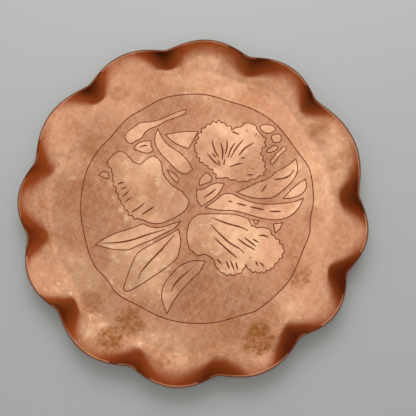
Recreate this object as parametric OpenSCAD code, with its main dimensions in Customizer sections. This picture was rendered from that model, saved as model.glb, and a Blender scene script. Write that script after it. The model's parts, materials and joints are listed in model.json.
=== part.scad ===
// Round copper tray with a fluted rim and an etched picture of orchids.
// One raised sheet of copper; black patina fills the etched lines.
// Origin: centre of the underside. +Z is up, +Y is the top of the picture. Millimetres.

/* [Sheet] */
// Diameter of the tray across opposite flutes of its rim
tray_d = 298; // [240:1:400]
// Height of the rim above the table
rim_h = 17; // [8:0.5:40]
// Thickness of the copper sheet
sheet_t = 1; // [0.8:0.1:2]
// How far the raised wall reaches outwards, from its foot to the rim
wall_run = 29; // [16:0.5:34]
// Share of the wall's run over which it bends up from the flat
wall_bend = 0.45; // [0.3:0.05:1]
// How much the wall goes on curling up beyond that bend: 0 is a straight slope
wall_curl = 0.45; // [0:0.05:0.9]

/* [Flutes] */
// How far the rim pulls in at each crease between two flutes
flute_depth = 8; // [2:0.5:12]
// Share of that depth that is left at the foot of the wall
flute_foot = 0; // [0:0.1:0.9]
// Softness of the creases: near 0 is a sharp fold, 1 is a gentle wave
crease_soft = 0.16; // [0.1:0.01:1]

/* [Etched picture] */
// Flat sheet between the etched ring around the picture and the foot of the wall
border_margin = 18.2; // [14:0.1:30]
// Width of the etched outlines
line_w = 0.9; // [0.5:0.05:1.1]
// Width of the bolder strokes inside the flowers and leaves, at their middle
stroke_w = 1.5; // [0.8:0.1:1.8]
// Depth of the etched ground below the flowers and leaves
ground_depth = 0.15; // [0.05:0.01:0.25]
// Depth of the etched lines
groove_depth = 0.35; // [0.3:0.05:0.6]
// Depth at which the patina in the lines ends, below the flowers and leaves
patina_depth = 0.2; // [0.15:0.01:0.28]

/* [Hidden] */

copper = "#c98a66";
patina = "#3b221a";

// Angles of the creases between the flutes, set out by hand
crease_at = [0, 37, 66, 97, 128, 162, 189, 217, 248, 277, 307, 333];
// The points of the picture are set out for a ring of this radius, and follow its size
drawn_r = 101.5;
// Centre of the etched ring, a little off the middle of the sheet
border_at = [3, 1];
// The ring wanders from a true circle, as it is drawn by hand: [angle, how far outwards]
ring_wander = [
    [0, 1.2], [14, 3.3], [24, 0.4], [42, 0.5], [56, -0.4], [69, -2.2], [84, 0.5],
    [102, 1.6], [116, -0.8], [126, -0.5], [139, -2.6], [148, -0.3], [162, 0.7],
    [180, -0.3], [198, -0.9], [209, -0.1], [218, -2.2], [227, -0.4], [237, -2.7],
    [255, -1.3], [274, -0.2], [291, 0.6], [300, 2.3], [318, 1.7], [335, -1.1],
    [343, 0], [350, -1.3]
];

flute_steps = 12;  // corners along the rim of one flute
wall_steps = 7;    // rings of corners up the wall
plain_step = 3.5;  // longest straight stretch on a plain line
frill_step = 1.3;  // longest straight stretch on a frilled line
plate_margin = 6;  // flat sheet beyond the etched ring that belongs to the etched plate
tip_limit = 3;     // the longest mitre at a leaf's tip, in half line widths
stroke_end = 0.4;  // width of a stroke at its ends, as a share of its full width

rim_r = tray_d / 2;
foot_r = rim_r - wall_run - flute_depth * flute_foot;
border_r = foot_r - border_margin;
picture_scale = border_r / drawn_r;
plate_r = border_r + norm(border_at) + plate_margin;
wall_total = (1 - wall_curl) * (1 - wall_bend / 2) + wall_curl / 2;
rim_lean = atan(wall_slope(1) * (rim_h - sheet_t) / wall_run);

// ---- Curves -----------------------------------------------------------------

function between(a, b, c, d, t) =
    0.5 * (2 * b + (c - a) * t + (2 * a - 5 * b + 4 * c - d) * t * t
        + (3 * b - a - 3 * c + d) * t * t * t);

// A smooth open line through a few points, cut into steps of about the given length
function smooth_line(p, step) = concat(
    [
        for (i = [0:len(p) - 2])
            let (n = max(1, ceil(norm(p[i + 1] - p[i]) / step)))
                for (k = [0:n - 1])
                    between(p[max(i - 1, 0)], p[i], p[i + 1], p[min(i + 2, len(p) - 1)], k / n)
    ],
    [p[len(p) - 1]]
);

function left_of(v) = [-v.y, v.x] / norm(v);

function line_normal(p, i) =
    left_of(p[min(i + 1, len(p) - 1)] - p[max(i - 1, 0)]);

// Waves of a given depth along a line, with both ends left where they are
function frilled(p, depth, waves) = [
    for (i = [0:len(p) - 1])
        let (s = i / (len(p) - 1))
            p[i] + line_normal(p, i) * depth * sin(360 * waves * s) * (1 - 0.35 * cos(900 * s))
];

function backwards(p) = [for (i = [len(p) - 1:-1:0]) p[i]];

function double_area(p) =
    [for (i = p) 1] * [for (i = [0:len(p) - 1]) cross(p[i], p[(i + 1) % len(p)])];

// The same outline, turned so that its inside is on its left
function turned(p) = double_area(p) > 0 ? p : backwards(p);

// A closed outline: each stretch is [points, depth of its frill, number of waves]
function outline(stretches) = picture_scale * turned([
    for (s = stretches)
        let (
            step = s[2] > 0 ? frill_step : plain_step,
            line = frilled(smooth_line(s[0], step), s[1], s[2])
        )
            for (i = [0:len(line) - 2]) line[i]
]);

// A closed outline through a few points, with no corner
function round_outline(p) = picture_scale * turned([
    for (i = [0:len(p) - 1])
        let (n = len(p))
            for (t = [0, 0.5])
                between(p[(i + n - 1) % n], p[i], p[(i + 1) % n], p[(i + 2) % n], t)
]);

// A closed outline moved to its left by d, mitred at its corners
function moved_outline(p, d) = [
    for (i = [0:len(p) - 1])
        let (
            n = len(p),
            m = left_of(p[i] - p[(i + n - 1) % n]) + left_of(p[(i + 1) % n] - p[i]),
            reach = min(2 / max(m * m, 0.01), tip_limit / max(norm(m), 0.1))
        )
            p[i] + m * d * reach
];

// A stroke's edge: half its width away at its middle, and thinner towards both ends
function moved_line(p, d) = [
    for (i = [0:len(p) - 1])
        let (s = i / (len(p) - 1))
            p[i] + line_normal(p, i) * d * (stroke_end + (1 - stroke_end) * sin(180 * s))
];

// ---- The picture: closed outlines and single strokes, each a few points ------

left_bloom = outline([
    [[[-75, 43], [-69, 50], [-62, 53], [-56, 49], [-50, 42], [-44, 40]], 0, 0],
    [[[-44, 40], [-38, 45], [-32, 47], [-26, 41], [-24, 30], [-17, 20], [-8, 13], [-2, 5]], 0, 0],
    [[[-2, 5], [-5, -3], [-16, -10], [-28, -14], [-37, -13], [-43, -10]], 0, 0],
    [[[-43, -10], [-51, -8], [-57, -2], [-62, 6], [-66, 16], [-69, 26], [-70, 35], [-75, 43]], 0.7, 11]
]);
left_bloom_strokes = [
    [[-65, 23], [-59, 24.5]],
    [[-62, 18], [-57, 20]],
    [[-61, 11.5], [-55, 16]],
    [[-58.5, 6.5], [-53, 10.5]],
    [[-53, -3], [-46, 1], [-41, 5]],
    [[-44, -5.5], [-33, 1]]
];

upper_bloom = outline([
    [[[6, 58], [11, 68], [19, 74], [28, 76], [34, 72], [40, 68]], 1.1, 8],
    [[[40, 68], [46, 70], [54, 73], [60, 69], [63, 63], [68, 58]], 0.5, 4],
    [[[68, 58], [67, 51], [63, 45], [65, 38], [66, 31], [65, 25]], 0.9, 6],
    [[[65, 25], [57, 22], [48, 19.5], [38, 21], [30, 24], [23, 23]], 0.6, 6],
    [[[23, 23], [21, 29], [15, 35], [9, 40], [6, 47], [4.5, 53], [6, 58]], 0.8, 8]
]);
// Strokes that fan out from the throat: [angle, start, end, bend], measured from the throat
upper_bloom_throat = [29, 32];
upper_bloom_fan = [
    [132, 3, 20, 2], [120, 12, 17, 0], [108, 11, 28, 2], [92, 8, 24, -2], [80, 13, 27, -2],
    [63, 11, 26, 2], [53, 12, 32, 2], [38, 18, 36, 3], [26, 18, 22, 0], [13, 6, 18, 1],
    [118, 4, 9, 0], [77, 3, 9, 0]
];
upper_bloom_strokes = concat(
    [
        for (f = upper_bloom_fan)
            let (out = [cos(f[0]), sin(f[0])], middle = (f[1] + f[2]) / 2)
                [for (k = [0:2]) upper_bloom_throat + out * (k == 0 ? f[1] : k == 1 ? middle : f[2])
                    + left_of(out) * (k == 1 ? f[3] / 2 : 0)]
    ],
    [
        [[49, 25.5], [55.5, 25]],
        [[38, 66], [45, 62.5]],
        [[40.5, 29.5], [42.5, 29]],
        [[53.5, 31.5], [56, 30.5]],
        [[51.5, 64.5], [52.5, 67]],
        [[59, 60], [60.5, 63]]
    ]
);

lower_bloom = outline([
    [[[-3, -38], [-5, -26], [-2, -14], [5, -8], [14, -7.5]], 0, 0],
    [[[14, -7.5], [24, -8], [36, -9], [44, -11.5], [49, -14], [51, -20]], 0, 0],
    [[[51, -20], [58, -21.5], [65, -22.5], [69, -29]], 0.5, 3],
    [[[69, -29], [73, -33], [77, -40], [76, -46], [71, -52], [65, -58]], 0.8, 7],
    [[[65, -58], [56, -60], [49, -58.5], [44, -53]], 0.7, 5],
    [[[44, -53], [41, -58.5], [34, -61], [26, -60], [20, -55]], 0.6, 5],
    [[[20, -55], [17, -48], [12, -43], [4, -43], [-3, -38]], 0.4, 3]
]);
lower_bloom_strokes = [
    [[17, -11], [26, -15], [34, -18], [43, -21], [48, -24]],
    [[16, -17], [24, -26], [32, -34], [40, -39], [43.5, -43]],
    [[18.5, -28.5], [28, -38], [37.5, -47]],
    [[39, -30.5], [45, -35.5], [53, -40.5]],
    [[44, -29.5], [49, -33.5], [54, -38]],
    [[51.5, -31], [56.5, -34.5]],
    [[57, -28.5], [61, -28.5], [65, -30.5]],
    [[20, -47], [24, -51.5]],
    [[28, -49], [30.5, -56]],
    [[31.5, -48.5], [34.5, -57]],
    [[36, -50], [37.5, -57]],
    [[53, -50], [54.5, -54.5]],
    [[56.5, -51], [60, -55.5]],
    [[48, -47], [50, -46.5]]
];

bud = outline([
    [[[-2, 89], [-10, 87], [-18, 84], [-27, 80.5], [-36, 79]], 0, 0],
    [[[-36, 79], [-44, 78.5], [-51, 74], [-57, 69.5], [-57.5, 64], [-53, 59.5], [-48, 62]], 0, 0],
    [[[-48, 62], [-43, 64], [-40, 69], [-35, 72.5], [-28, 75], [-20, 79], [-10, 82], [-2, 85.5],
    [-2, 89]], 0, 0]
]);

bud_leaf = outline([
    [[[-50, 54.5], [-47, 59], [-41, 61], [-34.5, 61.5]], 0, 0],
    [[[-34.5, 61.5], [-34.5, 57], [-32.5, 52]], 0, 0],
    [[[-32.5, 52], [-36, 50], [-41, 50.5], [-50, 54.5]], 0, 0]
]);
bud_leaf_strokes = [[[-45, 55.5], [-42, 56.8], [-37.5, 57.2]]];

strap_leaf = outline([
    [[[-28, 72], [-24, 63], [-18, 55.5], [-9, 49], [-2, 41], [2, 33]], 0, 0],
    [[[2, 33], [-4, 29], [-11, 32], [-19, 41], [-26, 49], [-30.5, 58], [-30.5, 66], [-28, 72]], 0, 0]
]);

sepals = [
    outline([
        [[[-21, 66.5], [-6, 68], [8, 67.5]], 0, 0],
        [[[8, 67.5], [4, 60], [-1, 52]], 0, 0],
        [[[-1, 52], [-9, 55.5], [-16, 60.5], [-21, 66.5]], 0, 0]
    ]),
    outline([
        [[[-20.5, 33.5], [-15, 30.5], [-11, 26], [-11.5, 21]], 0, 0],
        [[[-11.5, 21], [-15, 24], [-18, 28], [-20.5, 33.5]], 0, 0]
    ])
];

side_petal = outline([
    [[[-82, 32], [-78, 35.3], [-74, 34]], 0, 0],
    [[[-74, 34], [-72.7, 31.5], [-73, 28.5]], 0, 0],
    [[[-73, 28.5], [-77, 29.3], [-82, 32]], 0, 0]
]);

upper_left_leaf = outline([
    [[[-85, -30], [-77, -25], [-68, -21], [-57, -18], [-43, -13.5]], 0, 0],
    [[[-43, -13.5], [-37, -16.5], [-28, -17.5], [-18, -15], [-10, -13]], 0, 0],
    [[[-10, -13], [-16, -19], [-26, -23.5], [-37, -28.5], [-47, -32], [-56, -35.5], [-70, -34.5],
    [-85, -30]], 0, 0]
]);
upper_left_leaf_strokes = [[[-78, -29], [-66, -29], [-54, -27.5], [-40, -23.5], [-24, -19.5]]];

lower_left_leaf = outline([
    [[[-61, -69], [-58, -60], [-53, -48], [-49, -40], [-43, -35.5], [-33, -30.5], [-22, -25],
    [-12, -19.5]], 0, 0],
    [[[-12, -19.5], [-10.5, -31], [-14, -44], [-21, -50.5], [-36, -60], [-48, -67], [-57, -71],
    [-61, -69]], 0, 0]
]);
lower_left_leaf_strokes = [[[-48, -61], [-45, -55], [-37, -46], [-28, -37.5], [-20, -29], [-15.5, -24.5]]];

bottom_leaf = outline([
    [[[-24, -91], [-28, -78], [-26, -67], [-19, -58], [-9, -50], [1, -47.5], [10, -48.5]], 0, 0],
    [[[10, -48.5], [5, -57], [-4, -65], [-12, -73], [-19, -82], [-24, -91]], 0, 0]
]);
bottom_leaf_strokes = [[[-20, -73], [-17, -67], [-11, -61], [-3, -55]]];

throat_petals = [
    outline([
        [[[5, 14.5], [5, 6], [8.5, -1]], 0, 0],
        [[[8.5, -1], [18, 5], [25, 11], [29.5, 18.5]], 0, 0],
        [[[29.5, 18.5], [24, 19.5], [17, 18], [11, 14.5], [5, 14.5]], 0, 0]
    ]),
    outline([
        [[[7.5, 18], [8.5, 24], [14, 29.5]], 0, 0],
        [[[14, 29.5], [18, 26], [18.5, 21.5], [13, 19.5], [7.5, 18]], 0, 0]
    ])
];
throat_petal_strokes = [[[11, 7], [17, 10.5], [22, 14.5]]];

upper_right_leaf = outline([
    [[[93.5, 37.5], [84, 31], [75, 26.5], [69, 21.5], [57, 17.5], [46, 12.5], [40, 10.5]], 0, 0],
    [[[40, 10.5], [48, 6.5], [57, 4], [70, 4], [80, 10], [89, 18], [94, 27], [93.5, 37.5]], 0, 0]
]);
upper_right_leaf_strokes = [
    [[91, 28], [87, 23], [81, 20.5], [73, 20]],
    [[66.5, 15.5], [61, 9]]
];

small_right_leaf = outline([
    [[[100, 19], [92, 14], [85, 8], [80, 2.5]], 0, 0],
    [[[80, 2.5], [88, 3], [96, 6], [100.5, 12], [100, 19]], 0, 0]
]);

long_petal = outline([
    [[[12, -1.8], [20, 3.2], [28, 9], [35, 9.3], [43, 5], [52, 1], [64, -1.5], [78, -1.5], [89, -0.5],
    [97, 2]], 0, 0],
    [[[97, 2], [93, -5.5], [86, -12], [76, -15.5], [64, -14.5], [54, -11.5], [44, -8], [36, -5.8],
    [24, -4.8], [12, -1.8]], 0, 0]
]);
long_petal_strokes = [
    [[32, 3], [36, 1.8]],
    [[39, 0.5], [48, -2]],
    [[50.5, -3], [56, -4.5], [63, -6.5]],
    [[67, -8], [77.5, -8.5]]
];

flecks = [
    round_outline([[63.5, 69], [69, 70.5], [76, 68.5], [77, 65], [72, 62], [66.5, 63.5]]),
    round_outline([[73.5, 60], [80, 61], [82, 57], [80, 53.5], [74.5, 54]]),
    round_outline([[68, 46], [74, 50.5], [78, 50], [77, 46.5], [71, 44.5]]),
    round_outline([[71, 37], [80, 46.5], [84, 49.5], [85.5, 46.5], [79, 41], [72.5, 33.5]]),
    outline([
        [[[52.5, -14.5], [57.8, -15.7]], 0, 0],
        [[[57.8, -15.7], [55, -18.7]], 0, 0],
        [[[55, -18.7], [52.5, -14.5]], 0, 0]
    ]),
    outline([
        [[[70, -19], [78, -18.5]], 0, 0],
        [[[78, -18.5], [75.5, -23], [71, -27]], 0, 0],
        [[[71, -27], [70, -19]], 0, 0]
    ])
];

ring_points = [
    for (w = ring_wander) (border_r + picture_scale * w[1]) * [cos(w[0]), sin(w[0])]
];
border_ring = [
    for (i = [0:len(ring_points) - 1])
        let (n = len(ring_points), p = ring_points)
            for (t = [0:0.25:0.75])
                border_at + between(p[(i + n - 1) % n], p[i], p[(i + 1) % n], p[(i + 2) % n], t)
];

petals_and_leaves = concat(
    [left_bloom, upper_bloom, lower_bloom, bud, bud_leaf, strap_leaf, side_petal],
    [upper_left_leaf, lower_left_leaf, bottom_leaf, upper_right_leaf, small_right_leaf, long_petal],
    sepals, throat_petals, flecks
);
strokes = concat(
    left_bloom_strokes, upper_bloom_strokes, lower_bloom_strokes, bud_leaf_strokes,
    upper_left_leaf_strokes, lower_left_leaf_strokes, bottom_leaf_strokes,
    throat_petal_strokes, upper_right_leaf_strokes, long_petal_strokes
);

// ---- Flat shapes of the etching ----------------------------------------------

module ring_shape(p) {
    n = len(p);
    polygon(
        concat(moved_outline(p, line_w / 2), moved_outline(p, -line_w / 2)),
        [[for (i = [0:n - 1]) i], [for (i = [0:n - 1]) n + i]]
    );
}

module stroke_shape(points) {
    p = picture_scale * smooth_line(points, plain_step);
    polygon(concat(moved_line(p, stroke_w / 2), backwards(moved_line(p, -stroke_w / 2))));
}

// The inside of an outline, up to its etched line
module petal_shape(p) {
    polygon(moved_outline(p, line_w / 2));
}

// ---- Solids ------------------------------------------------------------------

// How far a flute bulges at a share u of its width: 0 at its creases, 1 at its middle
function bulge(u) =
    (sqrt(pow(sin(180 * u), 2) + pow(crease_soft, 2)) - crease_soft)
        / (sqrt(1 + pow(crease_soft, 2)) - crease_soft);

// Every corner along the rim as [angle, bulge], closer together near the creases
rim_corners = [
    for (i = [0:len(crease_at) - 1])
        let (
            start = crease_at[i],
            end = i < len(crease_at) - 1 ? crease_at[i + 1] : crease_at[0] + 360
        )
            for (k = [0:flute_steps - 1])
                let (t = k / flute_steps, u = t - 0.5 * sin(360 * t) / (2 * PI))
                    [start + (end - start) * u, bulge(u)]
];

function rim_radius(c) = rim_r - sheet_t * sin(rim_lean) - flute_depth * (1 - c[1]);
function foot_radius(c) = rim_r - wall_run - flute_depth * flute_foot * (1 - c[1]);

// Share of the wall's height at a share v of its run: a soft bend, then a slower curl
function wall_rise(v) =
    let (u = min(1, v / wall_bend), bent = wall_bend * (pow(u, 3) - pow(u, 4) / 2) + max(0, v - wall_bend))
        ((1 - wall_curl) * bent + wall_curl * v * v / 2) / wall_total;

function wall_slope(v) =
    let (u = min(1, v / wall_bend))
        ((1 - wall_curl) * u * u * (3 - 2 * u) + wall_curl * v) / wall_total;

// [radius, height] of the upper face at a share v of the wall's run
function wall_top(c, v) = [
    foot_radius(c) + (rim_radius(c) - foot_radius(c)) * v,
    sheet_t + (rim_h - sheet_t) * wall_rise(v)
];

function wall_lean(c, v) =
    atan(wall_slope(v) * (rim_h - sheet_t) / (rim_radius(c) - foot_radius(c)));

function wall_under(c, v) =
    wall_top(c, v) + sheet_t * [sin(wall_lean(c, v)), -cos(wall_lean(c, v))];

// The section of the sheet at one corner, from the etched plate out to the rim and back
function wall_section(c) = concat(
    [[plate_r, sheet_t]],
    [for (j = [0:wall_steps]) wall_top(c, j / wall_steps)],
    [for (j = [wall_steps:-1:0]) wall_under(c, j / wall_steps)],
    [[plate_r, 0]]
);

module fluted_wall() {
    n = len(rim_corners);
    m = 2 * wall_steps + 4;
    points = [
        for (c = rim_corners)
            for (q = wall_section(c))
                [q[0] * cos(c[0]), q[0] * sin(c[0]), q[1]]
    ];
    faces = [
        for (i = [0:n - 1])
            for (j = [0:m - 1])
                let (
                    a = i * m + j,
                    b = i * m + (j + 1) % m,
                    c = ((i + 1) % n) * m + (j + 1) % m,
                    d = ((i + 1) % n) * m + j
                )
                    for (f = [[a, c, b], [a, d, c]]) f
    ];
    polyhedron(points, faces);
}

module plate_shape() {
    polygon([for (c = rim_corners) plate_r * [cos(c[0]), sin(c[0])]]);
}

module line_shapes() {
    ring_shape(border_ring);
    for (p = petals_and_leaves) ring_shape(p);
    for (s = strokes) stroke_shape(s);
}

// What the acid left at full height: the sheet outside the ring, the petals and the leaves
module standing_shapes() {
    difference() {
        plate_shape();
        polygon(moved_outline(border_ring, -line_w / 2));
    }
    difference() {
        for (p = petals_and_leaves) petal_shape(p);
        for (s = strokes) stroke_shape(s);
    }
}

module etched_plate() {
    linear_extrude(sheet_t - groove_depth) plate_shape();
    translate([0, 0, sheet_t - groove_depth])
        linear_extrude(groove_depth - ground_depth)
            difference() {
                plate_shape();
                line_shapes();
            }
    translate([0, 0, sheet_t - ground_depth])
        linear_extrude(ground_depth)
            standing_shapes();
}

module tray_sheet() {
    color(copper) {
        fluted_wall();
        etched_plate();
    }
}

// Patina that fills the lines of some outlines and strokes
module patina_in(outlines, lines = []) {
    color(patina)
        translate([0, 0, sheet_t - groove_depth])
            linear_extrude(groove_depth - patina_depth) {
                for (p = outlines) ring_shape(p);
                for (s = lines) stroke_shape(s);
            }
}

module border_patina() { patina_in([border_ring]); }
module left_bloom_patina() { patina_in([left_bloom], left_bloom_strokes); }
module upper_bloom_patina() { patina_in([upper_bloom], upper_bloom_strokes); }
module lower_bloom_patina() { patina_in([lower_bloom], lower_bloom_strokes); }
module bud_patina() { patina_in([bud]); }
module bud_leaf_patina() { patina_in([bud_leaf], bud_leaf_strokes); }
module strap_leaf_patina() { patina_in([strap_leaf]); }
module sepal_patina() { patina_in(sepals); }
module side_petal_patina() { patina_in([side_petal]); }
module upper_left_leaf_patina() { patina_in([upper_left_leaf], upper_left_leaf_strokes); }
module lower_left_leaf_patina() { patina_in([lower_left_leaf], lower_left_leaf_strokes); }
module bottom_leaf_patina() { patina_in([bottom_leaf], bottom_leaf_strokes); }
module throat_petal_patina() { patina_in(throat_petals, throat_petal_strokes); }
module upper_right_leaf_patina() { patina_in([upper_right_leaf], upper_right_leaf_strokes); }
module small_right_leaf_patina() { patina_in([small_right_leaf]); }
module long_petal_patina() { patina_in([long_petal], long_petal_strokes); }
module fleck_patina() { patina_in(flecks); }

tray_sheet();
border_patina();
left_bloom_patina();
upper_bloom_patina();
lower_bloom_patina();
bud_patina();
bud_leaf_patina();
strap_leaf_patina();
sepal_patina();
side_petal_patina();
upper_left_leaf_patina();
lower_left_leaf_patina();
bottom_leaf_patina();
throat_petal_patina();
upper_right_leaf_patina();
small_right_leaf_patina();
long_petal_patina();
fleck_patina();
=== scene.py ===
"""Looks of a round copper tray with a scalloped rim and an etched picture of orchids."""

import json
import math

import bpy
import numpy as np
from bpy.props import FloatProperty, FloatVectorProperty, IntProperty, PointerProperty
from mathutils import Matrix, Vector, noise

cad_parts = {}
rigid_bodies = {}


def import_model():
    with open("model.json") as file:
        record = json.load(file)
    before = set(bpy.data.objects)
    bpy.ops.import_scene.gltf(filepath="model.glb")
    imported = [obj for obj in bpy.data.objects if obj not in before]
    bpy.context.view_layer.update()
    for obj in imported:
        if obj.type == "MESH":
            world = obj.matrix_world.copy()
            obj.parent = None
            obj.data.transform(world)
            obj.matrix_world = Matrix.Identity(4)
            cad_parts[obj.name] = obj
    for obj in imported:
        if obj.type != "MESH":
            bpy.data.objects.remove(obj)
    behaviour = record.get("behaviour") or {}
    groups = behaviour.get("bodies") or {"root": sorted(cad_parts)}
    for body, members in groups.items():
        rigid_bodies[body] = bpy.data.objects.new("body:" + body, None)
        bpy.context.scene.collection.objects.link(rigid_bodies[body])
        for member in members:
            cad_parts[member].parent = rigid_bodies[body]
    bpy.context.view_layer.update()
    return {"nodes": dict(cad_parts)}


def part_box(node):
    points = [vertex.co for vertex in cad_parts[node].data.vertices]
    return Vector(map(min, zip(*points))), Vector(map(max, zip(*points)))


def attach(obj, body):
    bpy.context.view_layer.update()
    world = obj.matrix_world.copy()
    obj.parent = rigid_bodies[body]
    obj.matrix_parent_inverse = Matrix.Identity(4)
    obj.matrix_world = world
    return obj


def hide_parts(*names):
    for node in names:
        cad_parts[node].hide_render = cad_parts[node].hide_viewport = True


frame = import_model()

bl_info = {
    "name": "Scalloped copper tray",
    "version": (1, 0, 0),
    "blender": (4, 5, 0),
    "location": "View3D > Sidebar > Tray",
    "description": "Raises the copper sheet, fills its etched lines and sets it on a pale table",
    "category": "Object",
}

BODY = "root"
SHEET = "tray_sheet"
RING = "border_patina"
PATINA = [name for name in frame["nodes"] if name.endswith("_patina")]
FULL_TURN = 2 * math.pi
SAME_PLACE = 2e-6
SHARP_ANGLE = math.radians(35)

# The noise that moves the wall's foot is read on a circle of this radius, at this height
FOOT_BENDS = 4
FOOT_START = 5
# Rows of the plain flat, and shares of the foot's radius at which the underside has rows
FLAT_ROWS = 6
UNDER_ROWS = (0.96, 0.91, 0.85, 0.75, 0.6, 0.4, 0.2, 0.07, 0.0)
# Share of the raised sheet's unevenness that is left at the rim
RIM_WANDER = 0.2

# How bright the room's ceiling and walls are, and what the right and the far side add
CEILING, CEILING_RIGHT, CEILING_FAR = 1.03, 0.72, 0.30
WALLS, WALLS_FAR = 0.10, 0.08
# Upward shares of a direction between which the walls give way to the ceiling, and how much
# higher the far side counts
BROW = (0.24, 0.50)
BROW_FAR = 0.12
# Upward shares between which the ceiling's right and far side come to count
HIGH = (0.78, 0.95)
# Someone leans over the table: where they are, how wide their shade is, the light it leaves
LEANING = (-0.06, -0.10, 1.0)
SHADE_ANGLE = math.radians(22)
SHADE_LEFT = 0.84
WALL_TINT = (1.0, 0.86, 0.80)
CEILING_TINT = (1.0, 0.99, 0.97)
BACKDROP = (0.42, 0.43, 0.42, 1)

# The Mix node's sockets for colours: two inputs and the result
FIRST_COLOR, SECOND_COLOR, COLOR_RESULT = 6, 7, 2

TABLE_SIZE = 8
LAMP_PLACE = (0.05, 0.66, 0.66)
LAMP_SIZE = (0.7, 0.5)
CAMERA_PLACE = (0.0304, -0.0666, 0.3886)
CAMERA_TURNS = ((0.16405, "X"), (0.04086, "Y"), (-0.04802, "Z"))


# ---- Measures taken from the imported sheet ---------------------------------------


def vertex_places(mesh):
    places = np.empty(len(mesh.vertices) * 3, dtype=np.float32)
    mesh.vertices.foreach_get("co", places)
    return places.reshape(-1, 3).astype(float)


def turns_of(places):
    """Angle of each place round the tray, from 0 to a full turn."""
    return np.arctan2(places[:, 1], places[:, 0]) % FULL_TURN


class SheetMeasures:
    """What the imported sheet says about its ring, its flat middle, its foot line and its rim."""

    def __init__(self):
        low, high = (np.array(corner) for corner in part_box(RING))
        self.ring_centre = (low + high)[:2] / 2
        self.ring_r = (high - low)[:2].mean() / 2
        ring = vertex_places(frame["nodes"][RING].data)
        self.ring_reach = np.hypot(ring[:, 0], ring[:, 1]).max()
        places = np.unique(np.round(vertex_places(frame["nodes"][SHEET].data), 7), axis=0)
        reach = np.hypot(places[:, 0], places[:, 1])
        self.rim_z = places[:, 2].max()
        self.sheet_t = places[reach < self.ring_r, 2].max()
        rim = places[places[:, 2] > self.rim_z - SAME_PLACE]
        rim = rim[np.argsort(turns_of(rim))]
        rim_r = np.hypot(rim[:, 0], rim[:, 1])
        self.rim_r = (rim_r.min(), rim_r.max())
        least = (rim_r < np.roll(rim_r, 1)) & (rim_r < np.roll(rim_r, -1))
        self.creases = turns_of(rim)[least]
        foot = (abs(places[:, 2] - self.sheet_t) < SAME_PLACE) & (reach > self.ring_reach * 1.01)
        self.foot_r = (reach[foot].min(), reach[foot].max())
        etched = (reach < self.ring_r * 0.9) & (places[:, 2] < self.sheet_t - 1e-5)
        self.ground_z = places[etched, 2].max()


MEASURES = SheetMeasures()


# ---- Settings ---------------------------------------------------------------------


class SheetSettings(bpy.types.PropertyGroup):
    wall_bend: FloatProperty(
        name="Wall bend", description="Share of the wall over which it bends up from the flat",
        default=0.45, min=0.1, max=1,
    )
    wall_curl: FloatProperty(
        name="Wall curl", description="How much the wall goes on curling up beyond its bend",
        default=0.45, min=0, max=0.9,
    )
    crease_softness: FloatProperty(
        name="Crease softness", description="Near 0 a flute ends in a sharp fold",
        default=0.16, min=0.02,
    )
    wall_rows: IntProperty(
        name="Wall rows", description="Rows of faces up each side of the wall", default=22, min=6
    )
    ring_cuts: IntProperty(
        name="Ring cuts", description="Cuts in each edge of the etched ring", default=5, min=0
    )
    edge_r: FloatProperty(
        name="Edge rounding", description="How far the filed rim edge is rounded",
        default=0.0003, unit="LENGTH",
    )
    unevenness: FloatProperty(
        name="Unevenness", description="How far the raised wall wanders from its true shape",
        default=0.0007, unit="LENGTH",
    )
    foot_wander: FloatProperty(
        name="Foot wander", description="How far the foot of the wall wanders in and out",
        default=0.005, unit="LENGTH",
    )
    wander_size: FloatProperty(
        name="Wander size", description="Size of the soft dents of the raising",
        default=0.026, unit="LENGTH",
    )
    blow_size: FloatProperty(
        name="Blow size", description="Size of one mark of the planishing hammer",
        default=0.0085, unit="LENGTH",
    )
    blow_depth: FloatProperty(
        name="Blow depth", description="Depth of one mark of the planishing hammer",
        default=0.00003, unit="LENGTH",
    )
    small_blow_size: FloatProperty(
        name="Small blow size", description="Size of one mark of the small hammer",
        default=0.0018, unit="LENGTH",
    )
    small_blow_depth: FloatProperty(
        name="Small blow depth", description="Depth of one mark of the small hammer",
        default=0.00002, unit="LENGTH",
    )
    sheet_color: FloatVectorProperty(
        name="Copper", description="Polished copper of the wall and the plain flat",
        default=(0.74, 0.355, 0.205), subtype="COLOR", size=3,
    )
    petal_color: FloatVectorProperty(
        name="Petals", description="Rubbed bright copper of the flowers and leaves",
        default=(0.95, 0.53, 0.325), subtype="COLOR", size=3,
    )
    ground_color: FloatVectorProperty(
        name="Etched ground", description="Copper that the acid has dulled",
        default=(0.57, 0.255, 0.143), subtype="COLOR", size=3,
    )
    # Painted dark reflection of the room, laid as colour on the steep folds of the wall
    steep_reflection_color: FloatVectorProperty(
        name="Steep wall", description="Reddened copper of the steep folds of the wall",
        default=(0.29, 0.046, 0.005), subtype="COLOR", size=3,
    )
    stain_color: FloatVectorProperty(
        name="Stain", description="Brown tarnish",
        default=(0.30, 0.095, 0.016), subtype="COLOR", size=3,
    )


class PatinaSettings(bpy.types.PropertyGroup):
    dark_color: FloatVectorProperty(
        name="Dark patina", description="Patina where it is thick",
        default=(0.095, 0.017, 0.009), subtype="COLOR", size=3,
    )
    worn_color: FloatVectorProperty(
        name="Worn patina", description="Patina that has been rubbed thin",
        default=(0.24, 0.056, 0.027), subtype="COLOR", size=3,
    )


class StageSettings(bpy.types.PropertyGroup):
    table_color: FloatVectorProperty(
        name="Table", description="Colour of the table",
        default=(0.285, 0.292, 0.286), subtype="COLOR", size=3,
    )
    lens: FloatProperty(
        name="Lens", description="Focal length of the camera, in millimetres", default=38.96, min=10
    )
    lamp_power: FloatProperty(
        name="Lamp", description="Power of the large soft lamp", default=8.0, unit="POWER"
    )


class TraySettings(bpy.types.PropertyGroup):
    sheet: PointerProperty(type=SheetSettings)
    patina: PointerProperty(type=PatinaSettings)
    stage: PointerProperty(type=StageSettings)


# ---- Small helpers ----------------------------------------------------------------


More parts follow.
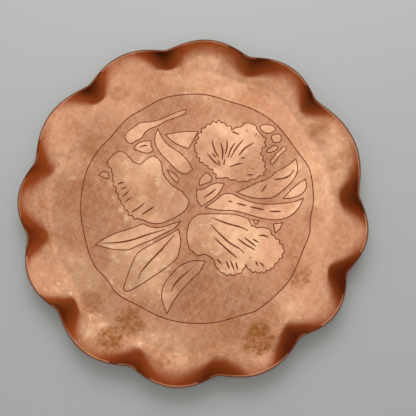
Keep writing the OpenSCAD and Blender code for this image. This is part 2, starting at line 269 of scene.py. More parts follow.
def only(*objects):
    """Selects these objects alone, the first of them active."""
    bpy.ops.object.select_all(action="DESELECT")
    for thing in objects:
        thing.select_set(True)
    bpy.context.view_layer.objects.active = objects[0]


def edit(mode="VERT"):
    bpy.ops.object.mode_set(mode="EDIT")
    bpy.ops.mesh.select_mode(type=mode)


def done():
    bpy.ops.object.mode_set(mode="OBJECT")


def pick(elements, chosen):
    elements.foreach_set("select", np.asarray(chosen, dtype=bool))


def clear_picks(mesh):
    for elements in (mesh.vertices, mesh.edges, mesh.polygons):
        pick(elements, np.zeros(len(elements), dtype=bool))


def smooth(value):
    return value * value * (3 - 2 * value)


# ---- Shader helpers ---------------------------------------------------------------


def fill(tree, socket, value):
    if isinstance(value, bpy.types.NodeSocket):
        tree.links.new(value, socket)
    elif value is not None:
        socket.default_value = value


def math_node(tree, operation, first, second=None, third=None, clamp=False):
    made = tree.nodes.new("ShaderNodeMath")
    made.operation = operation
    made.use_clamp = clamp
    for socket, value in zip(made.inputs, (first, second, third), strict=True):
        fill(tree, socket, value)
    return made.outputs[0]


def vector_node(tree, operation, first, second=None):
    made = tree.nodes.new("ShaderNodeVectorMath")
    made.operation = operation
    fill(tree, made.inputs[0], first)
    fill(tree, made.inputs[1], second)
    single = operation in ("LENGTH", "DISTANCE", "DOT_PRODUCT")
    return made.outputs["Value" if single else "Vector"]


def ramp_between(tree, value, low, high, to_low=0.0, to_high=1.0, soft=True):
    """The value from low to high, turned into to_low to to_high and held at both ends."""
    made = tree.nodes.new("ShaderNodeMapRange")
    made.interpolation_type = "SMOOTHSTEP" if soft else "LINEAR"
    for name, amount in (
        ("Value", value), ("From Min", low), ("From Max", high),
        ("To Min", to_low), ("To Max", to_high),
    ):
        fill(tree, made.inputs[name], amount)
    return made.outputs["Result"]


def mixed(tree, share, first, second):
    made = tree.nodes.new("ShaderNodeMix")
    made.data_type = "RGBA"
    fill(tree, made.inputs["Factor"], share)
    for index, color in ((FIRST_COLOR, first), (SECOND_COLOR, second)):
        plain = not isinstance(color, bpy.types.NodeSocket)
        fill(tree, made.inputs[index], (*color, 1) if plain else color)
    return made.outputs[COLOR_RESULT]


def clouds(tree, place, scale, detail=3.0, roughness=0.5, distortion=0.0):
    made = tree.nodes.new("ShaderNodeTexNoise")
    for name, amount in (
        ("Vector", place), ("Scale", scale), ("Detail", detail),
        ("Roughness", roughness), ("Distortion", distortion),
    ):
        fill(tree, made.inputs[name], amount)
    return made.outputs["Fac"]


def cells(tree, place, scale, feature="F1"):
    made = tree.nodes.new("ShaderNodeTexVoronoi")
    made.feature = feature
    fill(tree, made.inputs["Vector"], place)
    fill(tree, made.inputs["Scale"], scale)
    return made


def turned_place(tree, place, turn, stretch):
    made = tree.nodes.new("ShaderNodeMapping")
    fill(tree, made.inputs["Vector"], place)
    made.vector_type = "TEXTURE"
    made.inputs["Rotation"].default_value = (0, 0, turn)
    made.inputs["Scale"].default_value = stretch
    return made.outputs["Vector"]


def lay_out(tree):
    """Sets the nodes out in columns, so that the tree can be read."""
    for index, made in enumerate(tree.nodes):
        column, row = divmod(index, 6)
        made.location = (240 * column, -220 * row)


def effect_group(name, inputs, outputs, build):
    """A node group: inputs are (name, socket type, default), outputs are (name, socket type)."""
    tree = bpy.data.node_groups.new(name, "ShaderNodeTree")
    for label, kind, default in inputs:
        socket = tree.interface.new_socket(label, in_out="INPUT", socket_type=kind)
        if default is not None:
            socket.default_value = default
    for label, kind in outputs:
        tree.interface.new_socket(label, in_out="OUTPUT", socket_type=kind)
    entry = tree.nodes.new("NodeGroupInput")
    results = build(tree, entry.outputs)
    leave = tree.nodes.new("NodeGroupOutput")
    for label, result in results.items():
        tree.links.new(result, leave.inputs[label])
    lay_out(tree)
    return tree


def use_effect(tree, group, **values):
    made = tree.nodes.new("ShaderNodeGroup")
    made.node_tree = group
    for label, value in values.items():
        fill(tree, made.inputs[label.replace("_", " ").capitalize()], value)
    return made.outputs


FLOAT, VECTOR = "NodeSocketFloat", "NodeSocketVector"


def stain_effect():
    """A ragged patch round one place."""

    def build(tree, given):
        ragged = clouds(tree, given["Place"], given["Grain"], 5, 0.65, 0.6)
        away = vector_node(tree, "DISTANCE", given["Place"], given["Centre"])
        share = math_node(tree, "DIVIDE", away, given["Radius"])
        worn = math_node(tree, "MULTIPLY_ADD", ragged, -1.6, math_node(tree, "ADD", share, 0.8))
        return {"Mask": ramp_between(tree, worn, 0.95, 0.50)}

    inputs = [("Place", VECTOR, None), ("Centre", VECTOR, None),
              ("Radius", FLOAT, 0.02), ("Grain", FLOAT, 90.0)]
    return effect_group("ragged_stain", inputs, [("Mask", FLOAT)], build)


def speck_effect():
    """Small dark dots, one in some of the cells of a scatter."""

    def build(tree, given):
        scatter = cells(tree, given["Place"], given["Density"])
        near = ramp_between(tree, scatter.outputs["Distance"], given["Size"], 0.0)
        apart = tree.nodes.new("ShaderNodeSeparateColor")
        tree.links.new(scatter.outputs["Color"], apart.inputs[0])
        chosen = ramp_between(tree, apart.outputs[0], given["Rarity"], 1.0, 0.0, 1.0, False)
        return {"Mask": math_node(tree, "MULTIPLY", near, chosen)}

    inputs = [("Place", VECTOR, None), ("Density", FLOAT, 60.0),
              ("Size", FLOAT, 0.06), ("Rarity", FLOAT, 0.7)]
    return effect_group("specks", inputs, [("Mask", FLOAT)], build)


def rubbing_effect():
    """Fine crossing scratches of hand polishing."""

    def build(tree, given):
        total = None
        for turn, length in ((0.35, 9.0), (1.15, 12.0), (2.2, 10.0), (2.75, 14.0)):
            stretched = turned_place(tree, given["Place"], turn, (1.0, length, 1.0))
            lines = clouds(tree, stretched, given["Fineness"], 2, 0.7)
            total = lines if total is None else math_node(tree, "ADD", total, lines)
        return {"Marks": ramp_between(tree, math_node(tree, "DIVIDE", total, 4.0), 0.38, 0.62)}

    inputs = [("Place", VECTOR, None), ("Fineness", FLOAT, 900.0)]
    return effect_group("hand_rubbing", inputs, [("Marks", FLOAT)], build)


def hammer_effect():
    """Height of overlapping shallow marks of a planishing hammer, in metres."""

    def build(tree, given):
        shift = math_node(tree, "MULTIPLY", clouds(tree, given["Place"], 60.0, 2), 0.004)
        joined = tree.nodes.new("ShaderNodeCombineXYZ")
        for socket in joined.inputs:
            tree.links.new(shift, socket)
        moved = vector_node(tree, "ADD", given["Place"], joined.outputs[0])
        per_metre = math_node(tree, "DIVIDE", 1.0, given["Blow size"])
        blow = cells(tree, moved, per_metre, "SMOOTH_F1")
        blow.inputs["Smoothness"].default_value = 0.25
        cup = math_node(tree, "POWER", blow.outputs["Distance"], 2.0)
        return {"Height": math_node(tree, "MULTIPLY", cup, given["Blow depth"])}

    inputs = [("Place", VECTOR, None), ("Blow size", FLOAT, 0.009), ("Blow depth", FLOAT, 0.00003)]
    return effect_group("planishing", inputs, [("Height", FLOAT)], build)


EFFECTS = {}


def effect(name):
    """The node group of that name, made when it is first asked for."""
    makers = {"stain": stain_effect, "specks": speck_effect,
              "rubbing": rubbing_effect, "hammer": hammer_effect}
    if name not in EFFECTS:
        EFFECTS[name] = makers[name]()
    return EFFECTS[name]


def new_material(name):
    material = bpy.data.materials.new(name)
    material.use_nodes = True
    tree = material.node_tree
    shader = tree.nodes["Principled BSDF"]
    place = tree.nodes.new("ShaderNodeTexCoord").outputs["Object"]
    return material, tree, shader, place


# Patches on the copper, each as x, y, size, strength. First, where tarnish has settled:
STAINS = [
    (-0.055, -0.097, 0.017, 0.85), (-0.072, -0.112, 0.016, 1.00), (-0.088, -0.080, 0.014, 0.50),
    (0.051, -0.114, 0.018, 1.00), (0.030, -0.104, 0.014, 0.45), (0.088, -0.064, 0.014, 0.70),
    (-0.088, 0.060, 0.018, 0.45), (-0.046, 0.010, 0.020, 0.22), (-0.098, 0.012, 0.022, 0.30),
    (-0.030, -0.124, 0.016, 0.45), (0.116, 0.062, 0.016, 0.35), (-0.127, -0.020, 0.010, 0.55),
    (0.066, 0.104, 0.012, 0.35), (0.104, -0.014, 0.012, 0.30), (-0.064, 0.108, 0.012, 0.35),
]
# Where rubbing has left the copper brighter, partly painted highlights: the flat lighter at the
# right and bright patches at the lower left
RUBBED_AND_HIGHLIGHTS = [
    (-0.045, 0.022, 0.040, 1.00), (0.030, -0.034, 0.036, 0.90), (-0.044, -0.054, 0.034, 1.00),
    (-0.060, -0.038, 0.022, 0.60), (0.034, 0.058, 0.030, 0.40), (0.112, 0.024, 0.050, 0.50),
    (0.020, 0.118, 0.036, 0.40), (-0.104, -0.062, 0.026, 0.90), (-0.084, -0.100, 0.018, 0.90),
    (-0.040, -0.112, 0.014, 0.80), (-0.112, 0.046, 0.026, 0.50), (0.080, -0.100, 0.018, 0.50),
    (-0.020, -0.120, 0.018, 0.60), (-0.006, 0.048, 0.014, 0.60),
]
# Painted shade over wide stretches: the flat darker at the left, at the bottom and in the middle
PAINTED_SHADE_PATCHES = [
    (-0.108, 0.006, 0.066, 0.80), (-0.078, -0.066, 0.054, 0.60), (0.030, -0.096, 0.056, 0.80),
    (0.002, -0.068, 0.044, 0.90), (-0.010, -0.090, 0.036, 0.50), (-0.084, 0.064, 0.040, 0.55),
    (-0.018, 0.094, 0.034, 0.55), (-0.060, -0.010, 0.026, 0.40), (0.062, 0.030, 0.040, 0.75),
    (0.020, 0.050, 0.026, 0.50), (-0.006, 0.010, 0.044, 0.60),
]
# Where the wall keeps the marks of a small planishing hammer
PLANISHED = [
    (0.121, 0.040, 0.016, 1.0), (-0.118, -0.070, 0.018, 0.5), (0.092, -0.096, 0.018, 0.6),
    (-0.090, 0.104, 0.018, 0.5),
]
# Cloudy marks: scale, detail, roughness and distortion, then where they start and are full
HAZE = (24.0, 6, 0.68, 0.8, 0.40, 0.62)
MOTTLE = (130.0, 6, 0.72, 0.3, 0.36, 0.68)
GRIT = (900.0, 3, 0.6, 0.0, 0.46, 0.64)
# The painted highlight: bright glints laid as colour inside the rubbed patches
GLINT_CLOUDS = (150.0, 8, 0.72, 0.1, 0.52, 0.68)
STREAKS = (60.0, 7, 0.70, 0.6, 0.46, 0.66)
SMEARS = (34.0, 5, 0.7, 0.8, 0.50, 0.66)
WORN = (150.0, 4, 0.6, 0.0, 0.40, 0.66)
# Upward share of the surface's direction where the wall starts to count as steep, and is steep
# The painted dark reflection of the room goes on these steep folds
STEEP = (0.815, 0.745)
# How far below the rim its dark line starts and is full, and how far above the flat the wall is
# all wall, in metres
RIM_LINE = (0.0012, 0.0003)
WALL_STARTS = 0.002
# The streaks' noise is read on a circle of this radius, and this far along for each metre out
STREAK_RING = 0.12
STREAK_REACH = 0.3


def patches(tree, place, spots, grain):
    """The strongest of several ragged patches at each point."""
    total = None
    for x, y, size, strength in spots:
        patch = use_effect(tree, effect("stain"), place=place, centre=(x, y, MEASURES.sheet_t),
                           radius=size, grain=grain)
        held = math_node(tree, "MULTIPLY", patch["Mask"], strength)
        total = held if total is None else math_node(tree, "MAXIMUM", total, held)
    return total


def cloudy(tree, place, marks):
    """A mask of cloudy marks, from one of the lines of values above."""
    *shape, start, full = marks
    return ramp_between(tree, clouds(tree, place, *shape), start, full)


def layered(tree, color, layers):
    """Lays tints over a colour, one after another: each is (mask, strength, tint)."""
    for mask, strength, tint in layers:
        color = mixed(tree, math_node(tree, "MULTIPLY", mask, strength), color, tint)
    return color


def etched_masks(tree, place, height):
    """Where a point is on a standing petal, and where it is on the etched ground."""
    flat = vector_node(tree, "MULTIPLY", place, (1, 1, 0))
    away = vector_node(tree, "DISTANCE", flat, (*MEASURES.ring_centre, 0))
    within_ring = math_node(tree, "LESS_THAN", away, MEASURES.ring_r * 0.955)
    half_way_down = (MEASURES.sheet_t + MEASURES.ground_z) / 2
    groove_top = MEASURES.ground_z - 0.00007
    standing = math_node(tree, "GREATER_THAN", height, half_way_down)
    above_grooves = math_node(tree, "GREATER_THAN", height, groove_top)
    petals = math_node(tree, "MULTIPLY", within_ring, standing)
    return petals, math_node(tree, "SUBTRACT", above_grooves, standing)


def streak_place(tree, place):
    """A place for patterns that run outwards from the middle of the tray, with no seam."""
    flat = vector_node(tree, "MULTIPLY", place, (1, 1, 0))
    outward = vector_node(tree, "NORMALIZE", flat)
    ring = vector_node(tree, "MULTIPLY", outward, (STREAK_RING, STREAK_RING, 0))
    reach = math_node(tree, "MULTIPLY", vector_node(tree, "LENGTH", flat), STREAK_REACH)
    along = tree.nodes.new("ShaderNodeCombineXYZ")
    tree.links.new(reach, along.inputs["Z"])
    return vector_node(tree, "ADD", ring, along.outputs[0])


def wall_masks(tree, height):
    """How far up the wall a point is, on the wall at all, on a steep fold that gets painted dark
    reflection, and at the rim.
    """
    geometry = tree.nodes.new("ShaderNodeNewGeometry")
    facing = tree.nodes.new("ShaderNodeSeparateXYZ")
    tree.links.new(geometry.outputs["Normal"], facing.inputs[0])
    up_wall = ramp_between(tree, height, MEASURES.sheet_t, MEASURES.rim_z)
    on_wall = ramp_between(tree, height, MEASURES.sheet_t, MEASURES.sheet_t + WALL_STARTS)
    # Steep folds, where the dark reflection of the room is painted into the colour
    steep = ramp_between(tree, facing.outputs["Z"], *STEEP)
    rim = ramp_between(tree, height, *(MEASURES.rim_z - below for below in RIM_LINE))
    return up_wall, on_wall, math_node(tree, "MULTIPLY", steep, on_wall), rim


def copper_masks(tree, place):
    """Where each kind of surface, each kind of mark and each painted highlight and shade is on the
    copper, by name.
    """
    apart = tree.nodes.new("ShaderNodeSeparateXYZ")
    tree.links.new(place, apart.inputs[0])
    height = apart.outputs["Z"]
    petals, ground = etched_masks(tree, place, height)
    up_wall, on_wall, steep, rim = wall_masks(tree, height)

    outward = streak_place(tree, place)
    broken = ramp_between(tree, clouds(tree, place, 260.0, 6, 0.7, 0.4), 0.36, 0.62, 0.35, 1.0)
    # Rubbed patches: partly rubbed copper, partly painted highlight
    rubbed = patches(tree, place, RUBBED_AND_HIGHLIGHTS, grain=45.0)
    glint_reach = ramp_between(tree, rubbed, 0.0, 0.8, 0.15, 0.62)
    plain = math_node(tree, "SUBTRACT", 1.0, petals)
    return {
        "petals": petals, "ground": ground, "up_wall": up_wall, "steep": steep, "rim": rim,
        "rubbed": rubbed,
        # Painted shade: the flat darker at the left, at the bottom and in the middle
        "dulled": patches(tree, place, PAINTED_SHADE_PATCHES, grain=26.0),
        "stains": math_node(tree, "MULTIPLY", patches(tree, place, STAINS, grain=120.0), broken),
        "haze": cloudy(tree, place, HAZE),
        "mottle": cloudy(tree, place, MOTTLE),
        "grit": cloudy(tree, place, GRIT),
        # Painted highlight: bright glints inside the rubbed patches
        "painted_glints": math_node(tree, "MULTIPLY", cloudy(tree, place, GLINT_CLOUDS), glint_reach),
        "streaks": math_node(tree, "MULTIPLY", cloudy(tree, outward, STREAKS), plain),
        "smears": math_node(tree, "MULTIPLY", cloudy(tree, outward, SMEARS), on_wall),
        "scratches": use_effect(tree, effect("rubbing"), place=place, fineness=420.0)["Marks"],
        "specks": use_effect(tree, effect("specks"), place=place, density=80.0, size=0.09,
                             rarity=0.55)["Mask"],
    }


def copper_color(tree, mask, settings):
    """The copper's own colours, with each kind of mark and the painted highlights, shade and dark
    reflection laid over them in turn.
    """
    color = mixed(tree, mask["petals"], settings.sheet_color, settings.petal_color)
    color = mixed(tree, mask["ground"], color, settings.ground_color)
    return layered(tree, color, (
        # Rubbed patches, partly painted highlight
        (mask["rubbed"], 0.80, (1.0, 0.61, 0.36)),
        # Painted shade over wide stretches of the flat
        (mask["dulled"], 0.80, (0.29, 0.105, 0.045)),
        (mask["haze"], 0.46, (0.56, 0.22, 0.10)),
        (mask["mottle"], 0.36, (0.50, 0.19, 0.08)),
        (mask["grit"], 0.24, (0.45, 0.17, 0.08)),
        (mask["streaks"], 0.24, (0.48, 0.19, 0.085)),
        # Painted highlight: bright glints laid as colour
        (mask["painted_glints"], 1.0, (1.0, 0.70, 0.45)),
        (mask["scratches"], 0.22, (0.99, 0.68, 0.46)),
        # Painted dark reflection of the room on the steep folds
        (mask["steep"], 0.95, settings.steep_reflection_color),
        (mask["smears"], 0.40, settings.stain_color),
        (mask["stains"], 0.95, settings.stain_color),
        (mask["rim"], 0.85, (0.15, 0.04, 0.02)),
        (mask["specks"], 0.85, (0.05, 0.02, 0.015)),
    ))


def copper_roughness(tree, mask, polished=0.34):
    """Polished copper, made rougher or smoother by some of its marks."""
    rough = polished
    for name, more in (
        ("ground", 0.08), ("petals", -0.05), ("haze", 0.07), ("scratches", -0.05),
        ("up_wall", -0.12), ("stains", 0.06), ("rim", 0.20),
    ):
        rough = math_node(tree, "MULTIPLY_ADD", mask[name], more, rough)
    return rough


def copper_relief(tree, place, mask, settings):
    """Height of the hammer marks, scratches and grain, in metres."""
    blows = use_effect(tree, effect("hammer"), place=place, blow_size=settings.blow_size,
                       blow_depth=settings.blow_depth)["Height"]
    small = use_effect(tree, effect("hammer"), place=place, blow_size=settings.small_blow_size,
                       blow_depth=settings.small_blow_depth)["Height"]
    small = math_node(tree, "MULTIPLY", small, patches(tree, place, PLANISHED, grain=30.0))
    relief = math_node(tree, "ADD", blows, small)
    grain = clouds(tree, place, 2600.0, 2)
    for marks, depth in ((mask["scratches"], 0.0000012), (grain, 0.0000016)):
        relief = math_node(tree, "MULTIPLY_ADD", marks, depth, relief)
    return relief


def add_bump(tree, shader, relief, depth):
    """Turns a height into small dents and bumps of the surface; depth scales it to metres."""
    bump = tree.nodes.new("ShaderNodeBump")
    bump.inputs["Distance"].default_value = depth
    tree.links.new(relief, bump.inputs["Height"])
    tree.links.new(bump.outputs["Normal"], shader.inputs["Normal"])


def copper_material(settings):
    """Hand-polished copper: bright petals, duller etched ground, tarnish, specks and rubbing, with
    painted highlights, shade and dark reflection.
    """
    material, tree, shader, place = new_material("hand_polished_copper")
    mask = copper_masks(tree, place)
    tree.links.new(copper_color(tree, mask, settings), shader.inputs["Base Color"])
    tree.links.new(copper_roughness(tree, mask), shader.inputs["Roughness"])
    crusted = math_node(tree, "MULTIPLY", mask["specks"], 0.8)
    bare = math_node(tree, "SUBTRACT", 1.0, crusted, clamp=True)
    tree.links.new(bare, shader.inputs["Metallic"])
    add_bump(tree, shader, copper_relief(tree, place, mask, settings), 1.0)
    lay_out(tree)
    return material


def patina_material(settings):
    """Dark oxide packed in the etched lines, rubbed thin here and there."""
    material, tree, shader, place = new_material("line_patina")
    worn = cloudy(tree, place, WORN)
    grit = clouds(tree, place, 3200.0, 2)
    color = mixed(tree, worn, settings.dark_color, settings.worn_color)
    tree.links.new(color, shader.inputs["Base Color"])
    tree.links.new(math_node(tree, "MULTIPLY_ADD", grit, 0.25, 0.5), shader.inputs["Roughness"])
    tree.links.new(math_node(tree, "MULTIPLY", worn, 0.6), shader.inputs["Metallic"])
    shader.inputs["Specular IOR Level"].default_value = 0.15
    add_bump(tree, shader, grit, 0.00002)
    lay_out(tree)
    return material


# ---- The sheet --------------------------------------------------------------------


def etched_middle(ring_cuts):
    """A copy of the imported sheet, cut off along the outer edge of its etched ring."""
    only(frame["nodes"][SHEET])
    bpy.ops.object.duplicate()
    middle = bpy.context.view_layer.objects.active
    middle.name = "copper_sheet"
    bpy.ops.object.parent_clear(type="CLEAR_KEEP_TRANSFORM")
    for label in [key for key in middle.keys() if key.startswith("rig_")]:
        del middle[label]
    mesh = middle.data
    bpy.ops.mesh.customdata_custom_splitnormals_clear()

    edit()
    bpy.ops.mesh.select_all(action="SELECT")
    bpy.ops.mesh.remove_doubles(threshold=SAME_PLACE)
    done()

    clear_picks(mesh)
    beyond = np.hypot(*vertex_places(mesh)[:, :2].T) > MEASURES.foot_r[0] * 0.97
    pick(mesh.vertices, beyond)
    edit()
    bpy.ops.mesh.delete(type="VERT")
    done()

    # Slivers of the plain flat that are left outside the ring: flat faces linked to the open edge
    clear_picks(mesh)
    flat = vertex_places(mesh)[:, 2] > MEASURES.sheet_t - SAME_PLACE
    pick(mesh.polygons, [flat[list(face.vertices)].all() for face in mesh.polygons])
    edit("FACE")
    bpy.ops.mesh.hide(unselected=True)
    bpy.ops.mesh.select_mode(type="EDGE")
    bpy.ops.mesh.select_all(action="DESELECT")
    bpy.ops.mesh.select_non_manifold()
    bpy.ops.mesh.select_linked()
    bpy.ops.mesh.delete(type="FACE")
    bpy.ops.mesh.reveal(select=False)
    bpy.ops.mesh.select_all(action="DESELECT")
    bpy.ops.mesh.select_non_manifold()
    bpy.ops.mesh.subdivide(number_cuts=ring_cuts)
    done()
    return middle


def open_edge(thing):
    """Places along the open edge of a mesh, in order round the tray."""
    only(thing)
    edit("EDGE")
    bpy.ops.mesh.select_all(action="DESELECT")
    bpy.ops.mesh.select_non_manifold()
    done()
    chosen = np.empty(len(thing.data.vertices), dtype=bool)
    thing.data.vertices.foreach_get("select", chosen)
    places = vertex_places(thing.data)[chosen]
    return places[np.argsort(turns_of(places))]


def bulge(turns, softness):
    """How far a flute bulges at an angle: 0 at its creases, 1 at its middle."""
    creases = np.concatenate((
        MEASURES.creases[-1:] - FULL_TURN, MEASURES.creases, MEASURES.creases[:1] + FULL_TURN
    ))
    index = np.searchsorted(creases, turns, side="right") - 1
    share = (turns - creases[index]) / (creases[index + 1] - creases[index])
    rounded = np.sqrt(np.sin(np.pi * share) ** 2 + softness**2) - softness
    return rounded / (math.sqrt(1 + softness**2) - softness)


class WallShape:
    """The fluted wall's section at every column: places as [radius, height] and normals.

    A share is how far out a place lies between the foot (0) and the rim (1).
    """

    def __init__(self, turns, settings):
        self.edge_r = settings.edge_r
        swell = bulge(turns, settings.crease_softness)
        self.bend, self.curl = settings.wall_bend, settings.wall_curl
        self.total = (1 - self.curl) * (1 - self.bend / 2) + self.curl / 2
        circle = FOOT_BENDS * np.stack((np.cos(turns), np.sin(turns)))
        strays = [noise.noise(Vector((*spot, FOOT_START))) for spot in circle.T]
        self.foot = MEASURES.foot_r[0] + np.ptp(MEASURES.foot_r) * swell
        self.foot = self.foot + settings.foot_wander * np.array(strays)
        self.rim = MEASURES.rim_r[0] + np.ptp(MEASURES.rim_r) * swell
        self.rise = MEASURES.rim_z - MEASURES.sheet_t
        self.last = 1 - self.edge_r * (self.direction(1.0)[0] / (self.rim - self.foot)).mean()

    def direction(self, share):
        """Unit vector up the wall."""
        bent = smooth(min(1, share / self.bend))
        turned = ((1 - self.curl) * bent + self.curl * share) / self.total
        slope = np.stack((self.rim - self.foot, self.rise * turned * np.ones_like(self.rim)))
        return slope / np.hypot(*slope)

    def normal(self, share):
        """Unit vector out of the inner face, inwards and up."""
        along = self.direction(share)
        return np.stack((-along[1], along[0]))

    def inner(self, share):
        bent = min(1, share / self.bend)
        risen = self.bend * (bent**3 - bent**4 / 2) + max(0, share - self.bend)
        risen = ((1 - self.curl) * risen + self.curl * share**2 / 2) / self.total
        height = MEASURES.sheet_t + self.rise * risen
        return np.stack((self.foot + (self.rim - self.foot) * share,
                         height * np.ones_like(self.rim)))

    def outer(self, share):
        return self.inner(share) - MEASURES.sheet_t * self.normal(share)

    def edge(self, turn):
        """The rounded rim: turn 0 is the inner face, pi the outer one."""
        middle = (self.inner(self.last) + self.outer(self.last)) / 2
        across = self.normal(self.last) * MEASURES.sheet_t / 2 * math.cos(turn)
        return middle + across + self.direction(self.last) * self.edge_r * math.sin(turn)


def wall_rows(turns, start, settings):
    """Every row of the sheet round the etched middle: (section, normal, share of the wander)."""
    wall = WallShape(turns, settings)
    up = np.stack((np.zeros_like(turns), np.ones_like(turns)))
    flat_z = np.full_like(turns, MEASURES.sheet_t)
    rows = []
    for share in np.linspace(0, 1, FLAT_ROWS + 1)[:-1]:
        reach = start + (wall.foot - start) * share
        rows.append((np.stack((reach, flat_z)), up, smooth(share)))
    shares = [wall.last * step for step in np.linspace(0, 1, settings.wall_rows + 1)]
    for share in shares:
        rows.append((wall.inner(share), wall.normal(share), 1 - (1 - RIM_WANDER) * share**2))
    for step in (1, 2, 3):
        rows.append((wall.edge(math.pi * step / 4), wall.normal(wall.last), RIM_WANDER))
    for share in reversed(shares):
        rows.append((wall.outer(share), wall.normal(share), 1 - (1 - RIM_WANDER) * share**2))
    for share in UNDER_ROWS:
        section = np.stack((wall.foot * share, np.zeros_like(turns)))
        rows.append((section, up, max(0.0, (share - 0.75) * 4)))
    return rows


def wander(place, settings):
    """Soft unevenness of the raised sheet at a place, never below the true shape."""
    broad = noise.noise(Vector(place) / settings.wander_size)
    fine = noise.noise(Vector(place) / (settings.wander_size * 0.4) + Vector((7, 3, 1)))
    return settings.unevenness * max(0.0, 0.5 + 0.45 * broad + 0.12 * fine)


def raised_wall(edge, settings):
    """The plain flat, the fluted wall, its edge and the underside, round an open edge."""
    turns = turns_of(edge)
    rows = wall_rows(turns, np.hypot(edge[:, 0], edge[:, 1]), settings)
    columns, outward = len(turns), np.stack((np.cos(turns), np.sin(turns)))
    places = np.empty((len(rows), columns, 3))
    for index, (section, normal, strength) in enumerate(rows):
        for column in range(columns):
            reach, height = section[:, column]
            place = (*(outward[:, column] * reach), height)
            amount = wander(place, settings) * strength if strength > 0 else 0.0
            reach, height = section[:, column] + normal[:, column] * amount
            places[index, column] = (*(outward[:, column] * reach), height)
    places[0] = edge

    bpy.ops.object.select_all(action="DESELECT")
    bpy.ops.mesh.primitive_grid_add(
        x_subdivisions=columns, y_subdivisions=len(rows) - 1, size=2, location=(0, 0, 0)
    )
    wall = bpy.context.view_layer.objects.active
    flat = vertex_places(wall.data)
    column = np.rint((flat[:, 0] + 1) / 2 * columns).astype(int) % columns
    row = np.rint((flat[:, 1] + 1) / 2 * (len(rows) - 1)).astype(int)
    wall.data.vertices.foreach_set("co", places[row, column].astype(np.float32).ravel())
    wall.data.update()
    return wall


def enclosed_volume(mesh):
    mesh.calc_loop_triangles()
    corners = np.array([tri.vertices[:] for tri in mesh.loop_triangles])
    first, second, third = (vertex_places(mesh)[corners[:, side]] for side in range(3))
    return float(np.einsum("ij,ij->i", first, np.cross(second, third)).sum() / 6)


class TRAY_OT_copper_sheet(bpy.types.Operator):
    """Raises the copper sheet: etched middle, fluted wall and filed rim, in one closed mesh"""

    bl_idname = "tray.copper_sheet"
    bl_label = "Copper sheet"

    def execute(self, context):
        settings = context.scene.tray.sheet
        sheet = etched_middle(settings.ring_cuts)
        wall = raised_wall(open_edge(sheet), settings)
        only(sheet, wall)
        bpy.ops.object.join()
        edit()
        bpy.ops.mesh.select_all(action="SELECT")
        bpy.ops.mesh.remove_doubles(threshold=SAME_PLACE)
        bpy.ops.mesh.normals_make_consistent(inside=False)
        bpy.ops.mesh.select_all(action="DESELECT")
        bpy.ops.mesh.select_non_manifold()
        done()
        loose = np.empty(len(sheet.data.vertices), dtype=bool)
        sheet.data.vertices.foreach_get("select", loose)
        if loose.any():
            raise RuntimeError(f"the copper sheet is open at {int(loose.sum())} places")
        if enclosed_volume(sheet.data) < 0:
            raise RuntimeError("the copper sheet is inside out")
        only(sheet)
        bpy.ops.object.shade_smooth_by_angle(angle=SHARP_ANGLE, keep_sharp_edges=False)
        sheet.data.materials.clear()
        sheet.data.materials.append(copper_material(settings))
        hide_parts(SHEET)
        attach(sheet, BODY)
        return {"FINISHED"}


class TRAY_OT_line_patina(bpy.types.Operator):
    """Gives the patina in every etched line its dark, partly worn finish"""

    bl_idname = "tray.line_patina"
    bl_label = "Line patina"

    def execute(self, context):
        finish = patina_material(context.scene.tray.patina)
        for name in PATINA:
            mesh = frame["nodes"][name].data
            mesh.materials.clear()
            mesh.materials.append(finish)
        return {"FINISHED"}


# ---- The stage --------------------------------------------------------------------


def table_material(settings):
    """Pale painted table top with a faint mottle."""
    material, tree, shader, place = new_material("pale_table")
    mottle = clouds(tree, place, 5.0, 3)
    lighter = [channel * 1.05 for channel in settings.table_color]
    color = mixed(tree, mottle, settings.table_color, lighter)
    tree.links.new(color, shader.inputs["Base Color"])
    shader.inputs["Roughness"].default_value = 0.7
    lay_out(tree)
    return material


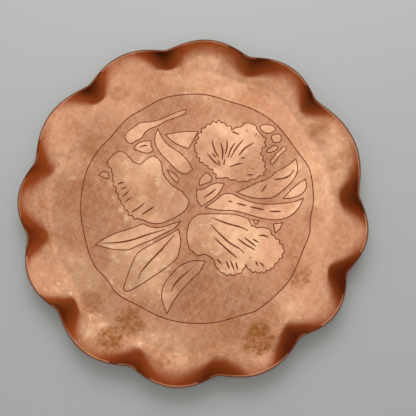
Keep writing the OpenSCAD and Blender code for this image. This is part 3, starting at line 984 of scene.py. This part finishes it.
def soft_surroundings():
    """A dim room with a pale ceiling, shaded where someone leans over the table."""
    world = bpy.data.worlds.new("soft_room")
    bpy.context.scene.world = world
    world.use_nodes = True
    tree = world.node_tree
    direction = tree.nodes.new("ShaderNodeTexCoord").outputs["Generated"]
    apart = tree.nodes.new("ShaderNodeSeparateXYZ")
    tree.links.new(direction, apart.inputs[0])
    right, far, up = apart.outputs

    slant = math_node(tree, "MULTIPLY", far, CEILING_FAR)
    slant = math_node(tree, "MULTIPLY_ADD", right, CEILING_RIGHT, slant)
    ceiling = math_node(tree, "MULTIPLY_ADD", slant, ramp_between(tree, up, *HIGH), CEILING)
    towards = vector_node(tree, "NORMALIZE", direction)
    near = vector_node(tree, "DOT_PRODUCT", towards, Vector(LEANING).normalized())
    shade = ramp_between(tree, near, math.cos(SHADE_ANGLE), 1.0, 1.0, SHADE_LEFT)
    ceiling = math_node(tree, "MULTIPLY", ceiling, shade)
    walls = math_node(tree, "MULTIPLY_ADD", far, WALLS_FAR, WALLS)
    overhead = ramp_between(tree, math_node(tree, "MULTIPLY_ADD", far, BROW_FAR, up), *BROW)
    strength = tree.nodes.new("ShaderNodeMix")
    for socket, value in zip(
        (strength.inputs["Factor"], strength.inputs[2], strength.inputs[3]),
        (overhead, walls, ceiling), strict=True,
    ):
        fill(tree, socket, value)
    color = mixed(tree, overhead, WALL_TINT, CEILING_TINT)
    room = tree.nodes["Background"]
    tree.links.new(color, room.inputs["Color"])
    tree.links.new(strength.outputs[0], room.inputs["Strength"])

    # Behind the table the camera sees a plain pale wall
    backdrop = tree.nodes.new("ShaderNodeBackground")
    backdrop.inputs["Color"].default_value = BACKDROP
    ray = tree.nodes.new("ShaderNodeLightPath")
    both = tree.nodes.new("ShaderNodeMixShader")
    tree.links.new(ray.outputs["Is Camera Ray"], both.inputs[0])
    tree.links.new(room.outputs[0], both.inputs[1])
    tree.links.new(backdrop.outputs[0], both.inputs[2])
    tree.links.new(both.outputs[0], tree.nodes["World Output"].inputs["Surface"])
    lay_out(tree)


def soft_lamp(name, place, size, power):
    """A soft lamp aimed at the tray, which throws shadows and shows in no reflection."""
    bpy.ops.object.select_all(action="DESELECT")
    bpy.ops.object.light_add(type="AREA", location=place)
    lamp = bpy.context.view_layer.objects.active
    lamp.name = name
    lamp.data.shape = "RECTANGLE"
    lamp.data.size, lamp.data.size_y = size
    lamp.data.energy = power
    lamp.visible_glossy = False
    lamp.rotation_euler = (-Vector(place)).to_track_quat("-Z", "Y").to_euler()


class TRAY_OT_stage(bpy.types.Operator):
    """Sets out the pale table, the soft lamp and the dim room"""

    bl_idname = "tray.stage"
    bl_label = "Stage"

    def execute(self, context):
        settings = context.scene.tray.stage
        bpy.ops.object.select_all(action="DESELECT")
        bpy.ops.mesh.primitive_plane_add(size=TABLE_SIZE, location=(0, 0, 0))
        table = bpy.context.view_layer.objects.active
        table.name = "table_top"
        table.data.materials.append(table_material(settings))
        soft_surroundings()
        soft_lamp("far_lamp", LAMP_PLACE, LAMP_SIZE, settings.lamp_power)
        context.scene.view_settings.view_transform = "Standard"
        return {"FINISHED"}


class TRAY_OT_camera(bpy.types.Operator):
    """Sets the camera almost straight above the tray, a little to its lower side"""

    bl_idname = "tray.camera"
    bl_label = "Camera"

    def execute(self, context):
        bpy.ops.object.select_all(action="DESELECT")
        bpy.ops.object.camera_add(location=(0, 0, 0))
        camera = bpy.context.view_layer.objects.active
        camera.name = "camera"
        camera.data.lens = context.scene.tray.stage.lens
        camera.data.sensor_width = 36
        camera.data.clip_start = 0.01
        turn = Matrix.Identity(4)
        for angle, axis in CAMERA_TURNS:
            turn @= Matrix.Rotation(angle, 4, axis)
        camera.matrix_world = Matrix.Translation(CAMERA_PLACE) @ turn
        context.scene.camera = camera
        return {"FINISHED"}


# ---- Panel and registration -------------------------------------------------------


class TRAY_PT_tray(bpy.types.Panel):
    """Lists the tray's settings and the steps that make it"""

    bl_label = "Copper tray"
    bl_idname = "TRAY_PT_tray"
    bl_space_type = "VIEW_3D"
    bl_region_type = "UI"
    bl_category = "Tray"

    def draw(self, context):
        tray = context.scene.tray
        for title, group, operator in (
            ("Sheet", tray.sheet, TRAY_OT_copper_sheet),
            ("Patina", tray.patina, TRAY_OT_line_patina),
            ("Stage", tray.stage, TRAY_OT_stage),
        ):
            box = self.layout.box()
            box.label(text=title)
            for label in group.__annotations__:
                box.prop(group, label)
            box.operator(operator.bl_idname)
        self.layout.operator(TRAY_OT_camera.bl_idname)


CLASSES = (
    SheetSettings, PatinaSettings, StageSettings, TraySettings,
    TRAY_OT_camera, TRAY_OT_copper_sheet, TRAY_OT_line_patina, TRAY_OT_stage, TRAY_PT_tray,
)


def register():
    for kind in CLASSES:
        bpy.utils.register_class(kind)
    bpy.types.Scene.tray = PointerProperty(type=TraySettings)


def unregister():
    del bpy.types.Scene.tray
    for kind in reversed(CLASSES):
        bpy.utils.unregister_class(kind)


def main():
    register()
    bpy.ops.tray.camera()
    bpy.ops.tray.copper_sheet()
    bpy.ops.tray.line_patina()
    bpy.ops.tray.stage()


if __name__ == "__main__":
    main()
